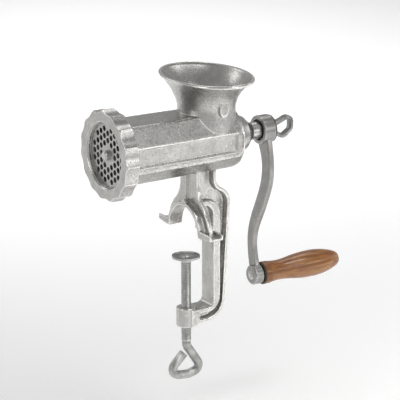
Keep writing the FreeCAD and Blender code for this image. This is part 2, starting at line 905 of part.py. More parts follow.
def ring_nut():
    """Nut with scallops between the ridges of its rim, which holds the disc on the barrel."""
    nut_rear = nut_front + nut_depth
    ridge_step = 360 / nut_ridges

    def around(radius, angle):
        turn = math.radians(angle)
        return Vector(nut_front, radius * math.cos(turn), barrel_axis_height + radius * math.sin(turn))

    edges = []
    for ridge in range(nut_ridges):
        angle = nut_first_ridge_angle + ridge * ridge_step
        edges.append(Part.Arc(
            around(nut_radius, angle),
            around(nut_scallop_radius, angle + ridge_step / 2),
            around(nut_radius, angle + ridge_step),
        ).toShape())
    scalloped = Part.Face(Part.Wire(edges)).extrude(Vector(nut_depth, 0, 0))
    rounded_blank = turned_x(outline(
        xz(nut_front, 0),
        xz(nut_front, nut_radius - nut_edge_round),
        xz(nut_front + nut_edge_round, nut_radius),
        xz(nut_rear - nut_edge_round, nut_radius),
        xz(nut_rear, nut_radius - nut_edge_round),
        xz(nut_rear, 0),
    ))
    lip_rear = nut_front + nut_lip_thickness
    opening = turned_x(outline(
        xz(nut_front - OVERRUN, 0),
        xz(nut_front - OVERRUN, nut_opening_radius + nut_opening_chamfer + OVERRUN),
        xz(nut_front + nut_opening_chamfer, nut_opening_radius),
        xz(lip_rear + OVERRUN, nut_opening_radius),
        xz(lip_rear + OVERRUN, 0),
    ))
    thread_bore = rod_x(collar_radius + running_clearance, lip_rear, nut_rear + OVERRUN)
    return scalloped.common(rounded_blank).cut([opening, thread_bore])


def arm_bar():
    """Curved flat bar between the crank's hub and its lower boss."""
    left = []
    right = []
    for share, middle, width in ARM_STATIONS:
        z = barrel_axis_height - share * crank_drop
        left.append(Vector(bar_front, middle + width / 2, z))
        right.append(Vector(bar_front, middle - width / 2, z))
    left_curve = Part.BSplineCurve()
    left_curve.interpolate(left)
    right_curve = Part.BSplineCurve()
    right_curve.interpolate(right)
    wire = Part.Wire([
        Part.LineSegment(right[0], left[0]).toShape(),
        left_curve.toShape(),
        Part.LineSegment(left[-1], right[-1]).toShape(),
        right_curve.toShape(),
    ])
    bar = Part.Face(wire).extrude(Vector(arm_bar_thickness, 0, 0))
    long_edges = [edge for edge in bar.Edges if edge.Length > crank_drop / 2]
    return bar.makeFillet(arm_bar_round, long_edges)


def rounded_hub_x(radius, x_from, x_to, y, z, edge_round):
    """Cylinder along X with rounded end edges."""
    return turned_x(outline(
        xz(x_from, 0),
        xz(x_from, radius - edge_round),
        (
            xz(x_from + edge_round * (1 - math.sqrt(0.5)), radius - edge_round * (1 - math.sqrt(0.5))),
            xz(x_from + edge_round, radius),
        ),
        xz(x_to - edge_round, radius),
        (
            xz(x_to - edge_round * (1 - math.sqrt(0.5)), radius - edge_round * (1 - math.sqrt(0.5))),
            xz(x_to, radius - edge_round),
        ),
        xz(x_to, 0),
    ), y, z)


def crank_arm():
    """Cast crank with a counterbored hub on a square and a boss for the grip's spindle."""
    hub = rounded_hub_x(hub_radius, hub_front, hub_rear, 0.0, barrel_axis_height, hub_edge_round)
    boss = rounded_hub_x(
        lower_boss_radius,
        lower_boss_front,
        lower_boss_rear,
        crank_sideways,
        grip_axis_height,
        lower_boss_edge_round,
    )
    return fused([hub, arm_bar(), boss]).cut([
        rod_x(hub_counterbore_radius, hub_front - OVERRUN, hub_floor),
        square_bar_x(shaft_square + 2 * running_clearance, hub_floor - OVERRUN, hub_rear + OVERRUN),
        rod_x(
            spindle_root_radius,
            lower_boss_front - OVERRUN,
            lower_boss_rear + OVERRUN,
            crank_sideways,
            grip_axis_height,
        ),
    ])


def crank_washer():
    """Washer under the wing screw."""
    disc = rod_x(wing_washer_radius, hub_rear, wing_head_front)
    hole_radius = wing_screw_radius + running_clearance
    return disc.cut(rod_x(hole_radius, hub_rear - OVERRUN, wing_head_front + OVERRUN))


def wing_screw():
    """Screw that holds the crank, with a bent loop as its grip."""
    head_end = wing_head_front + wing_head_length
    shank_tip = wing_head_front - wing_washer_thickness - wing_screw_engagement
    shank = rod_x(wing_screw_radius, shank_tip, head_end)
    head = rod_x(wing_head_radius, wing_head_front, head_end)
    corners = []
    for distance, height in WING_LOOP:
        corners.append(xz(wing_head_front + distance, barrel_axis_height + height))
    path = rounded_path(corners, wing_loop_bend_radius)
    heading = (corners[1] - corners[0]).normalize()
    across = heading.cross(Y_AXIS) * (wing_strap_thickness / 2)
    along = Y_AXIS * (wing_strap_width / 2)
    section = rounded_path(
        [
            corners[0] + across,
            corners[0] + across + along,
            corners[0] - across + along,
            corners[0] - across - along,
            corners[0] + across - along,
            corners[0] + across,
        ],
        wing_strap_round,
    )
    loop = path.makePipeShell([section], True, False)
    return fused([shank, head, loop])


def clamp_screw():
    """Clamp screw with a bent loop as its handle and a spigot for the plate."""
    shoulder = plate_bottom - plate_hub_length
    loop_top = -screw_loop_top_depth
    corners = [xz(0, loop_top + 2 * screw_radius)]
    for distance, depth in SCREW_LOOP:
        corners.append(xz(distance, loop_top - depth))
    path = rounded_path(corners, screw_loop_bend_radius)
    section = Part.Wire(Part.makeCircle(screw_loop_wire, corners[0], Z_AXIS))
    loop = path.makePipeShell([section], True, False)
    shank = rod_z(screw_radius, loop_top + screw_radius, shoulder - face_clearance)
    spigot = rod_z(plate_spigot_radius, shoulder - OVERRUN, plate_top + face_clearance)
    whole = fused([shank, spigot, loop])
    rivet_end = plate_top + face_clearance - rivet_shank_length
    return whole.cut(rod_z(rivet_shank_radius, rivet_end, plate_top + 2 * face_clearance))


def clamp_plate():
    """Shallow dished plate that presses on the table's underside."""
    rim = plate_top + plate_rim_rise
    dish_radius = (plate_floor_radius + plate_radius) / 2
    dish_rise = plate_rim_rise / 4
    hole = plate_spigot_radius + running_clearance
    return turned_z(outline(
        xz(hole, plate_bottom - plate_hub_length),
        xz(plate_hub_radius, plate_bottom - plate_hub_length),
        xz(plate_hub_radius, plate_bottom),
        xz(plate_floor_radius, plate_bottom),
        (xz(dish_radius, plate_bottom + dish_rise), xz(plate_radius, plate_bottom + plate_rim_rise)),
        xz(plate_radius, rim),
        (xz(dish_radius, plate_top + dish_rise), xz(plate_floor_radius, plate_top)),
        xz(hole, plate_top),
    ))


def dome_rise(radius, height):
    """Height of a round dome halfway between its edge and its top."""
    ball_radius = (radius ** 2 + height ** 2) / (2 * height)
    return math.sqrt(ball_radius ** 2 - (radius / 2) ** 2) - (ball_radius - height)


def domed_tip(base, radius, height, front):
    """Arc of a shallow dome, from its edge to its top. It points towards -X where front is true."""
    direction = -1 if front else 1
    return (
        xz(base + direction * dome_rise(radius, height), radius / 2),
        xz(base + direction * height, 0),
    )


def plate_rivet():
    """Rivet in the screw's end that keeps the plate on its spigot."""
    seat = plate_top + face_clearance
    head = turned_z(outline(
        xz(0, seat),
        xz(rivet_head_radius, seat),
        (
            xz(rivet_head_radius / 2, seat + dome_rise(rivet_head_radius, rivet_head_height)),
            xz(0, seat + rivet_head_height),
        ),
    ))
    return fused([head, rod_z(rivet_shank_radius, seat - rivet_shank_length, seat)])


def grip_spindle():
    """Steel spindle riveted into the crank's lower boss."""
    head = turned_x(outline(
        xz(lower_boss_front, 0),
        xz(lower_boss_front, spindle_rivet_radius),
        domed_tip(lower_boss_front, spindle_rivet_radius, spindle_rivet_height, True),
    ), crank_sideways, grip_axis_height)
    shaft_tip = grip_end + face_clearance + end_washer_thickness
    tip_cap = turned_x(outline(
        xz(shaft_tip, 0),
        xz(shaft_tip, spindle_radius),
        domed_tip(shaft_tip, spindle_radius, end_cap_height, False),
    ), crank_sideways, grip_axis_height)
    return fused([
        head,
        rod_x(spindle_root_radius, lower_boss_front, lower_boss_rear, crank_sideways, grip_axis_height),
        rod_x(spindle_radius, lower_boss_rear, shaft_tip, crank_sideways, grip_axis_height),
        tip_cap,
    ])


def spindle_washer():
    """Washer between the crank's boss and the grip."""
    end = lower_boss_rear + spindle_washer_thickness
    disc = rod_x(spindle_washer_radius, lower_boss_rear, end, crank_sideways, grip_axis_height)
    hole = rod_x(spindle_radius, lower_boss_rear - OVERRUN, end + OVERRUN, crank_sideways, grip_axis_height)
    return disc.cut(hole)


def wooden_grip():
    """Turned wooden grip with a collar, a waist, a belly and a domed end."""
    def at(position, radius):
        return Vector(grip_start + position, 0, radius)

    swell = Part.BSplineCurve()
    swell.interpolate([
        at(grip_collar_length, grip_collar_radius),
        at((grip_collar_length + grip_waist_position) / 2, grip_undercut_radius),
        at(grip_waist_position, grip_waist_radius),
        at((grip_waist_position + grip_belly_position) / 2, grip_swell_radius),
        at(grip_belly_position, grip_belly_radius),
        at(grip_shoulder_position, grip_shoulder_radius),
        at(grip_length, grip_end_radius),
    ])
    wire = Part.Wire([
        Part.LineSegment(at(0, 0), at(0, grip_collar_radius)).toShape(),
        Part.LineSegment(at(0, grip_collar_radius), at(grip_collar_length, grip_collar_radius)).toShape(),
        swell.toShape(),
        Part.LineSegment(at(grip_length, grip_end_radius), at(grip_length, 0)).toShape(),
        Part.LineSegment(at(grip_length, 0), at(0, 0)).toShape(),
    ])
    solid = turned_x(wire, crank_sideways, grip_axis_height)
    bore = rod_x(
        spindle_radius + running_clearance,
        grip_start - OVERRUN,
        grip_end + OVERRUN,
        crank_sideways,
        grip_axis_height,
    )
    return solid.cut(bore)


def grip_end_washer():
    """Small washer under the spindle's peened end."""
    start = grip_end + face_clearance
    end = start + end_washer_thickness
    disc = rod_x(end_washer_radius, start, end, crank_sideways, grip_axis_height)
    hole = rod_x(spindle_radius, start - OVERRUN, end + OVERRUN, crank_sideways, grip_axis_height)
    return disc.cut(hole)


def all_parts():
    """Every node's name and shape."""
    envelope = barrel_envelope()
    casting = clamp_casting(envelope)
    return {
        "barrel_housing": barrel_housing(),
        "feed_hopper": feed_hopper(envelope),
        "support_legs": support_legs(casting),
        "clamp_frame": clamp_frame(casting),
        "shaft_bush": shaft_bush(),
        "thrust_washer": thrust_washer(),
        "disc_key_pin": disc_key_pin(),
        "feed_screw": feed_screw(),
        "knife_stud": knife_stud(),
        "drive_shaft": drive_shaft(),
        "cutting_knife": cutting_knife(),
        "hole_disc": hole_disc(),
        "ring_nut": ring_nut(),
        "crank_arm": crank_arm(),
        "crank_washer": crank_washer(),
        "wing_screw": wing_screw(),
        "grip_spindle": grip_spindle(),
        "spindle_washer": spindle_washer(),
        "wooden_grip": wooden_grip(),
        "grip_end_washer": grip_end_washer(),
        "clamp_screw": clamp_screw(),
        "clamp_plate": clamp_plate(),
        "plate_rivet": plate_rivet(),
    }


os.makedirs("parts", exist_ok=True)
for name, shape in all_parts().items():
    if not shape.isValid() or len(shape.Solids) != 1:
        raise ValueError(f"{name} has {len(shape.Solids)} solids, valid: {shape.isValid()}")
    shape.exportStep(f"parts/{name}.step")
    print(f"{name}: {shape.Volume:.0f} cubic mm")
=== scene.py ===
import bmesh
import bpy
import math
from mathutils import Matrix, Vector
import numpy as np


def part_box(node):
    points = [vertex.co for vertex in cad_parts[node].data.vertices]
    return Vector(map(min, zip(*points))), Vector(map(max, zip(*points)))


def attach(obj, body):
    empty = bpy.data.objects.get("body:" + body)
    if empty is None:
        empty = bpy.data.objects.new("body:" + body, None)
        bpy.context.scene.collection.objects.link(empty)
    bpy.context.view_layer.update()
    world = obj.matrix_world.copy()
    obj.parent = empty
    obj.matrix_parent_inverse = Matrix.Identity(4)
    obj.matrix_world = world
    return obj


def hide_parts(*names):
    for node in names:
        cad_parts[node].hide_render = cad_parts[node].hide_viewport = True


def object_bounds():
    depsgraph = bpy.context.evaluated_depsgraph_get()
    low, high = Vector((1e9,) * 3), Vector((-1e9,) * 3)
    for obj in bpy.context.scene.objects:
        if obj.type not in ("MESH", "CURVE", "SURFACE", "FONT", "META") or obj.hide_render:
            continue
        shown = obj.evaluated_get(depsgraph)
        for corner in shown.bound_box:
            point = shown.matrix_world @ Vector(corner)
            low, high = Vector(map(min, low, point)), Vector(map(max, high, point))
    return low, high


# Hand cranked meat grinder. Metres, +Z up, the crank at +X.

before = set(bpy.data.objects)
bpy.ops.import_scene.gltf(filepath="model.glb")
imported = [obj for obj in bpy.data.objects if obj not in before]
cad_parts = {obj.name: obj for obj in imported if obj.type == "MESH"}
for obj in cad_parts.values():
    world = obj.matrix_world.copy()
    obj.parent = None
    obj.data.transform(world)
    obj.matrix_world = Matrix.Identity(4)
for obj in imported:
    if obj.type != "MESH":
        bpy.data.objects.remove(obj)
cad_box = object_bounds()

MM = 0.001
WHITE = (1.0, 1.0, 1.0, 1.0)

# Camera, solved from the photograph
CAMERA_AZIMUTH = math.radians(-32.4)
CAMERA_ELEVATION = math.radians(16.6)
CAMERA_ROLL = math.radians(-0.2)
CAMERA_TARGET = Vector((0.0132, 0.0, 0.0229))
CAMERA_DISTANCE = 1.7806
CAMERA_LENS = 207.0

# Width of the camera's sensor in mm, and the nearest and farthest that it sees
CAMERA_SENSOR = 36.0
CAMERA_NEAR = 0.05
CAMERA_FAR = 50.0

# Brightness of the surrounding
WORLD_HORIZON = 0.42
WORLD_ZENITH = 0.28

# Place that the lamps around the object point at
LAMP_TARGET = (0.01, 0.0, 0.02)

# Floor, and its distance below the clamp screw's loop, which sinks as the clamp opens
FLOOR_DROP = 42.0 * MM
FLOOR_HALF_WIDTH = 8.0
FLOOR_COLOUR = (0.93, 0.93, 0.93, 1.0)
FLOOR_ROUGHNESS = 0.9
FLOOR_SHINE = 0.1

# Floor's own glow, as the camera, metal and glass see it
FLOOR_GLOW = 0.16

# Sockets of a Mix node that mixes colours, by number, because several of its sockets share a name
MIX_FACTOR = 0
MIX_FIRST_COLOUR = 6
MIX_SECOND_COLOUR = 7
MIX_COLOUR = 2

# Range of a noise texture's values that a material uses, unless it gives another
NOISE_LOW = 0.3
NOISE_HIGH = 0.7

# How a metal's worn edge, brightened also by a painted highlight, differs from the metal beside it
EDGE_BRIGHTNESS = 1.25
CAST_EDGE_SMOOTHNESS = 0.08

# Pointiness of a machined piece where its worn edge and painted highlight start and where they are full
MACHINED_EDGE_STARTS = 0.51
MACHINED_EDGE_FULL = 0.58

# Roughness of a machined piece's smoothest and dullest patches, over its own
SMOOTH_PATCH = 0.8
DULL_PATCH = 1.25

# Painted shade at the wooden grip's collar, next to its washer: where it starts to fade and where it ends,
# in mm from the grip's start
COLLAR_SHADE_FADES = 4.5
COLLAR_SHADE_ENDS = 6.5
COLLAR_SHADE_DARKNESS = 0.55

# Cell size of the castings' meshes, and how strongly one round smooths them
CASTING_CELL = 0.45 * MM
FINE_CASTING_CELL = 0.35 * MM
SMOOTHING_FACTOR = 0.5

# Fillets of the casting at the hopper's throat and below the barrel, outside its bore
FILLET_RADIUS = 2.2 * MM
FILLET_ROUNDS = 50
FILLET_STEP = 0.8
THROAT_LOW = 83.0 * MM
THROAT_HIGH = 98.0 * MM
BARREL_BOTTOM = 51.0 * MM
BARREL_AXIS = 71.2 * MM
BARREL_CLEAR = 22.5 * MM

# Height of an edge above its neighbours, over the cell size, where its wear and painted highlight start
# and are full
WEAR_AND_SHEEN_STARTS = 0.016
WEAR_AND_SHEEN_FULL = 0.055
WEAR_AND_SHEEN_SPREAD_ROUNDS = 2

# Clamp screw's thread
THREAD_RADIUS = 3.9 * MM
THREAD_DEPTH = 0.45 * MM
THREAD_PITCH = 1.25 * MM
THREAD_TOP = -24.6 * MM
THREAD_BOTTOM = -88.6 * MM
THREAD_STEPS_AROUND = 32
THREAD_ROWS_PER_PITCH = 8

# Profile of the thread over a pitch: slopes on both sides of this peak, cut off at its crest and root
THREAD_PEAK = 1.25
THREAD_SLOPE = 3.2

# Points nearer to each other than this are welded
WELD_DISTANCE = 0.002 * MM

# Faces that meet at more than this angle keep a sharp edge
SHARP_ANGLE = math.radians(35)


def make_camera():
    """Camera at the photograph's viewing angle."""
    data = bpy.data.cameras.new("camera")
    data.lens = CAMERA_LENS
    data.sensor_width = CAMERA_SENSOR
    data.clip_start = CAMERA_NEAR
    data.clip_end = CAMERA_FAR
    camera = bpy.data.objects.new("camera", data)
    bpy.context.scene.collection.objects.link(camera)
    back = Vector((
        math.sin(CAMERA_AZIMUTH) * math.cos(CAMERA_ELEVATION),
        -math.cos(CAMERA_AZIMUTH) * math.cos(CAMERA_ELEVATION),
        math.sin(CAMERA_ELEVATION),
    ))
    level_right = Vector((math.cos(CAMERA_AZIMUTH), math.sin(CAMERA_AZIMUTH), 0))
    level_up = back.cross(level_right)
    right = level_right * math.cos(CAMERA_ROLL) + level_up * math.sin(CAMERA_ROLL)
    up = back.cross(right)
    place = CAMERA_TARGET + back * CAMERA_DISTANCE
    camera.matrix_world = Matrix((
        (right.x, up.x, back.x, place.x),
        (right.y, up.y, back.y, place.y),
        (right.z, up.z, back.z, place.z),
        (0, 0, 0, 1),
    ))
    bpy.context.scene.camera = camera


class Shading:
    """Builds one node material. Lengths in it are millimetres on the object."""

    def __init__(self, name, metallic, roughness):
        self.material = bpy.data.materials.new(name)
        self.material.use_nodes = True
        self.tree = self.material.node_tree
        self.shader = self.tree.nodes["Principled BSDF"]
        self.shader.inputs["Metallic"].default_value = metallic
        self.shader.inputs["Roughness"].default_value = roughness
        place = self.tree.nodes.new("ShaderNodeTexCoord")
        scaled = self.tree.nodes.new("ShaderNodeMapping")
        scaled.inputs["Scale"].default_value = (1 / MM, 1 / MM, 1 / MM)
        self.tree.links.new(place.outputs["Object"], scaled.inputs["Vector"])
        self.place = scaled.outputs["Vector"]

    def join(self, source, node, socket):
        """Links one node's output to a socket of another."""
        self.tree.links.new(source, node.inputs[socket])

    def stretched_along_x(self, x_scale):
        """The object's coordinates with X scaled down, for grain that runs along it."""
        node = self.tree.nodes.new("ShaderNodeMapping")
        node.inputs["Scale"].default_value = (x_scale, 1.0, 1.0)
        self.join(self.place, node, "Vector")
        return node.outputs["Vector"]

    def along_x(self):
        """The object's X coordinate."""
        node = self.tree.nodes.new("ShaderNodeSeparateXYZ")
        self.join(self.place, node, "Vector")
        return node.outputs["X"]

    def noise(self, size, detail, roughness=0.5, distortion=0.0, place=None):
        """Noise with features of a size in mm, around 0.5."""
        node = self.tree.nodes.new("ShaderNodeTexNoise")
        node.inputs["Scale"].default_value = 1 / size
        node.inputs["Detail"].default_value = detail
        node.inputs["Roughness"].default_value = roughness
        node.inputs["Distortion"].default_value = distortion
        self.join(place or self.place, node, "Vector")
        return node.outputs["Fac"]

    def worn_and_sheened_edge(self):
        """From 0 in a machined piece's open surface to 1 on its convex edges."""
        geometry = self.tree.nodes.new("ShaderNodeNewGeometry")
        return self.between(geometry.outputs["Pointiness"], MACHINED_EDGE_STARTS, MACHINED_EDGE_FULL)

    def attribute(self, name):
        """A number that the piece's mesh holds at each point."""
        node = self.tree.nodes.new("ShaderNodeAttribute")
        node.attribute_name = name
        return node.outputs["Fac"]

    def between(self, value, low, high, to_low=0.0, to_high=1.0):
        """A value mapped from one range to another, and held at its ends."""
        node = self.tree.nodes.new("ShaderNodeMapRange")
        node.inputs["From Min"].default_value = low
        node.inputs["From Max"].default_value = high
        node.inputs["To Min"].default_value = to_low
        node.inputs["To Max"].default_value = to_high
        self.join(value, node, "Value")
        return node.outputs["Result"]

    def difference(self, first, second):
        """The first value less the second."""
        node = self.tree.nodes.new("ShaderNodeMath")
        node.operation = "SUBTRACT"
        self.join(first, node, 0)
        self.join(second, node, 1)
        return node.outputs[0]

    def blend(self, factor, first, second):
        """Mix of two colours, each a tuple or a socket."""
        node = self.tree.nodes.new("ShaderNodeMix")
        node.data_type = "RGBA"
        self.join(factor, node, MIX_FACTOR)
        for socket, colour in ((MIX_FIRST_COLOUR, first), (MIX_SECOND_COLOUR, second)):
            if isinstance(colour, tuple):
                node.inputs[socket].default_value = (*colour, 1.0)
            else:
                self.join(colour, node, socket)
        return node.outputs[MIX_COLOUR]

    def bump(self, height, depth, normal=None):
        """Surface relief, its depth in mm, on top of an earlier one where that is given."""
        node = self.tree.nodes.new("ShaderNodeBump")
        node.inputs["Strength"].default_value = 1.0
        node.inputs["Distance"].default_value = depth * MM
        self.join(height, node, "Height")
        if normal is not None:
            self.join(normal, node, "Normal")
        return node.outputs["Normal"]

    def finish(self, colour, roughness, normal):
        """Links the finished colour, roughness and relief to the shader."""
        for source, socket in ((colour, "Base Color"), (roughness, "Roughness"), (normal, "Normal")):
            self.join(source, self.shader, socket)
        return self.material


def worn_and_sheened(colour):
    """The colour of a metal's worn edge, brightened further as a painted highlight."""
    return tuple(min(1.0, channel * EDGE_BRIGHTNESS) for channel in colour)


def cast_metal(name, light, dark, roughness_low, roughness_high):
    """Tumbled sand casting: grainy, softly mottled, brighter on its worn edges, partly real wear and
    partly a painted highlight.
    """
    shading = Shading(name, metallic=1.0, roughness=roughness_high)
    mottle = shading.noise(size=9.0, detail=4.0, roughness=0.6)
    cloud = shading.noise(size=28.0, detail=2.0)
    grain = shading.noise(size=1.3, detail=3.0, roughness=0.7)
    pits = shading.noise(size=2.2, detail=3.0, roughness=0.7)
    edge = shading.attribute("edge_wear_and_sheen")
    dark_cloud = shading.between(cloud, low=0.35, high=0.75, to_high=0.35)
    dark_grain = shading.between(grain, low=0.36, high=0.6, to_low=0.5, to_high=0.0)
    mottled = shading.blend(shading.between(mottle, NOISE_LOW, NOISE_HIGH), dark, light)
    clouded = shading.blend(dark_cloud, mottled, dark)
    grained = shading.blend(dark_grain, clouded, dark)
    # Convex edges painted brighter: real wear and a painted highlight together
    colour = shading.blend(edge, grained, worn_and_sheened(light))
    pitted = shading.between(pits, NOISE_LOW, NOISE_HIGH, roughness_low, roughness_high)
    smoothed = shading.between(edge, low=0.0, high=1.0, to_high=CAST_EDGE_SMOOTHNESS)
    relief = shading.bump(grain, depth=0.07)
    relief = shading.bump(pits, depth=0.06, normal=relief)
    relief = shading.bump(mottle, depth=0.08, normal=relief)
    return shading.finish(colour, shading.difference(pitted, smoothed), relief)


def machined_metal(name, light, dark, roughness):
    """Turned or ground metal with fine marks, dull patches, and brighter worn edges that also carry a
    painted highlight.
    """
    shading = Shading(name, metallic=1.0, roughness=roughness)
    marks = shading.noise(size=0.5, detail=2.0)
    patches = shading.noise(size=5.0, detail=3.0, roughness=0.6)
    surface = shading.blend(shading.between(patches, low=0.35, high=0.7), light, dark)
    # Edges painted brighter: partly wear, partly a painted highlight
    colour = shading.blend(shading.worn_and_sheened_edge(), surface, worn_and_sheened(light))
    patchy = shading.between(
        patches,
        NOISE_LOW,
        NOISE_HIGH,
        to_low=roughness * SMOOTH_PATCH,
        to_high=roughness * DULL_PATCH,
    )
    relief = shading.bump(patches, depth=0.05)
    relief = shading.bump(marks, depth=0.03, normal=relief)
    return shading.finish(colour, patchy, relief)


def varnished_wood(name):
    """Beech or similar under a gloss varnish, its grain along the grip, with painted shade darkening its
    collar.
    """
    shading = Shading(name, metallic=0.0, roughness=0.3)
    shading.shader.inputs["Coat Weight"].default_value = 0.35
    shading.shader.inputs["Coat Roughness"].default_value = 0.12
    band_place = shading.stretched_along_x(0.05)
    fibre_place = shading.stretched_along_x(0.03)
    bands = shading.noise(size=3.2, detail=4.0, roughness=0.6, distortion=0.6, place=band_place)
    fibres = shading.noise(size=0.35, detail=3.0, roughness=0.6, place=fibre_place)
    cloud = shading.noise(size=16.0, detail=2.0)
    dark_bands = shading.between(bands, low=0.38, high=0.66)
    dark_fibres = shading.between(fibres, low=0.46, high=0.66, to_high=0.6)
    dark_cloud = shading.between(cloud, low=0.4, high=0.8, to_high=0.35)
    grip_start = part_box("wooden_grip")[0].x / MM
    # Painted shade on the grip's first mm beside the washer, fading out along the collar
    collar_shade = shading.between(
        shading.along_x(),
        low=grip_start + COLLAR_SHADE_ENDS,
        high=grip_start + COLLAR_SHADE_FADES,
        to_high=COLLAR_SHADE_DARKNESS,
    )
    banded = shading.blend(dark_bands, (0.50, 0.225, 0.062), (0.24, 0.082, 0.019))
    streaked = shading.blend(dark_fibres, banded, (0.13, 0.04, 0.01))
    clouded = shading.blend(dark_cloud, streaked, (0.30, 0.10, 0.025))
    # Dark brown of the painted shade at the collar
    colour = shading.blend(collar_shade, clouded, (0.17, 0.05, 0.012))
    roughness = shading.between(fibres, NOISE_LOW, NOISE_HIGH, to_low=0.24, to_high=0.36)
    relief = shading.bump(fibres, depth=0.03)
    relief = shading.bump(bands, depth=0.06, normal=relief)
    return shading.finish(colour, roughness, relief)


def pressed_fibre(name):
    """Speckled red fibre board."""
    shading = Shading(name, metallic=0.0, roughness=0.7)
    speckle = shading.noise(size=0.8, detail=3.0)
    colour = shading.blend(speckle, (0.22, 0.05, 0.03), (0.34, 0.1, 0.06))
    roughness = shading.between(speckle, NOISE_LOW, NOISE_HIGH, to_low=0.6, to_high=0.8)
    return shading.finish(colour, roughness, shading.bump(speckle, depth=0.05))


def copied_mesh(nodes):
    """The meshes of CAD nodes, in one bmesh."""
    together = bmesh.new()
    for node in nodes:
        together.from_mesh(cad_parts[node].data)
    bmesh.ops.remove_doubles(together, verts=together.verts, dist=WELD_DISTANCE)
    return together


def new_piece(name, shape, body, material):
    """Object on a CAD body, made from a bmesh that is then freed."""
    mesh = bpy.data.meshes.new(name)
    shape.to_mesh(mesh)
    shape.free()
    piece = bpy.data.objects.new(name, mesh)
    bpy.context.scene.collection.objects.link(piece)
    mesh.materials.append(material)
    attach(piece, body)
    return piece


def apply_modifiers(piece):
    """Puts the result of the modifiers into the piece's own mesh."""
    bpy.context.view_layer.update()
    evaluated = piece.evaluated_get(bpy.context.evaluated_depsgraph_get())
    finished = bpy.data.meshes.new_from_object(evaluated)
    piece.modifiers.clear()
    piece.data = finished
    finished.shade_smooth()


def shade_curves(mesh):
    """Smooth shading on curved faces, with sharp edges between them."""
    mesh.shade_smooth()
    mesh.set_sharp_from_angle(angle=SHARP_ANGLE)


def mesh_arrays(mesh):
    """A mesh's points, and the two ends of each of its edges."""
    points = np.empty(len(mesh.vertices) * 3)
    mesh.vertices.foreach_get("co", points)
    ends = np.empty(len(mesh.edges) * 2, dtype=np.int32)
    mesh.edges.foreach_get("vertices", ends)
    return points.reshape(-1, 3), ends.reshape(-1, 2)


def neighbour_mean(values, ends):
    """The mean of each point's neighbours, column by column."""
    first, second = ends.T
    count = len(values)
    total = np.stack([
        np.bincount(first, column[second], count) + np.bincount(second, column[first], count)
        for column in values.T
    ], axis=1)
    return total / np.bincount(ends.ravel(), minlength=count)[:, None]


def concavity(mesh, points, ends):
    """How far each point lies below its neighbours, and the outward direction there."""
    outward = np.empty(points.size)
    mesh.vertex_normals.foreach_get("vector", outward)
    outward = outward.reshape(-1, 3)
    rise = np.einsum("ij,ij->i", neighbour_mean(points, ends) - points, outward)
    return rise, outward


def fill_corners(mesh, cell):
    """Fills the concave corners of a closed mesh, round by round, towards the fillet's radius."""
    points, ends = mesh_arrays(mesh)
    outside = np.hypot(points[:, 1], points[:, 2] - BARREL_AXIS) > BARREL_CLEAR
    at_throat = (points[:, 2] > THROAT_LOW) & (points[:, 2] < THROAT_HIGH)
    below_barrel = points[:, 2] < BARREL_BOTTOM
    behind_nut = points[:, 0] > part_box("ring_nut")[1].x
    movable = outside & (at_throat | below_barrel) & behind_nut
    fillet_rise = cell ** 2 / (4 * FILLET_RADIUS)
    for _ in range(FILLET_ROUNDS):
        rise, outward = concavity(mesh, points, ends)
        filled = np.where(movable & (rise > fillet_rise), rise - fillet_rise, 0.0)
        points = points + outward * filled[:, None] * FILLET_STEP
        mesh.vertices.foreach_set("co", points.ravel())
        mesh.update()


def mark_worn_and_sheened_edges(mesh, cell):
    """Writes how far tumbling has worn each point, with a painted highlight on top, from 0 in the open to
    1 on a convex edge.
    """
    points, ends = mesh_arrays(mesh)
    rise, _ = concavity(mesh, points, ends)
    sharpness = -rise[:, None] / cell
    for _ in range(WEAR_AND_SHEEN_SPREAD_ROUNDS):
        sharpness = neighbour_mean(sharpness, ends)
    wear_and_sheen = np.clip((sharpness[:, 0] - WEAR_AND_SHEEN_STARTS) / (WEAR_AND_SHEEN_FULL - WEAR_AND_SHEEN_STARTS), 0.0, 1.0)
    mesh.attributes.new("edge_wear_and_sheen", "FLOAT", "POINT").data.foreach_set("value", wear_and_sheen)


def rounded_casting(name, nodes, body, material, cell, smooth_rounds, keep_share, fillets=False):
    """Casting with rounded edges, and fillets where asked, made from the solids of CAD nodes."""
    piece = new_piece(name, copied_mesh(nodes), body, material)
    remesh = piece.modifiers.new("closed", "REMESH")
    remesh.mode = "VOXEL"
    remesh.voxel_size = cell
    smooth = piece.modifiers.new("rounded", "SMOOTH")
    smooth.factor = SMOOTHING_FACTOR
    smooth.iterations = smooth_rounds
    apply_modifiers(piece)
    if fillets:
        fill_corners(piece.data, cell)
    mark_worn_and_sheened_edges(piece.data, cell)
    thin = piece.modifiers.new("thinned", "DECIMATE")
    thin.ratio = keep_share
    apply_modifiers(piece)
    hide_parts(*nodes)


def thread_ring(shape, z):
    """Adds one ring of the thread's points to a bmesh."""
    ring = []
    for step in range(THREAD_STEPS_AROUND):
        turn = step / THREAD_STEPS_AROUND
        phase = (z / THREAD_PITCH - turn) % 1.0
        ridge = min(1.0, max(0.0, THREAD_PEAK - abs(phase - 0.5) * THREAD_SLOPE))
        reach = THREAD_RADIUS - THREAD_DEPTH * (1 - ridge)
        angle = turn * 2 * math.pi
        ring.append(shape.verts.new((reach * math.cos(angle), reach * math.sin(angle), z)))
    return ring


def add_thread(shape):
    """Adds the clamp screw's thread to a bmesh, with closed ends."""
    length = THREAD_TOP - THREAD_BOTTOM
    rows = int(length / THREAD_PITCH * THREAD_ROWS_PER_PITCH)
    rings = [thread_ring(shape, THREAD_BOTTOM + length * row / rows) for row in range(rows + 1)]
    for lower, upper in zip(rings, rings[1:]):
        for step in range(THREAD_STEPS_AROUND):
            beside = (step + 1) % THREAD_STEPS_AROUND
            shape.faces.new((lower[step], lower[beside], upper[beside], upper[step]))
    shape.faces.new(list(reversed(rings[0])))
    shape.faces.new(rings[-1])


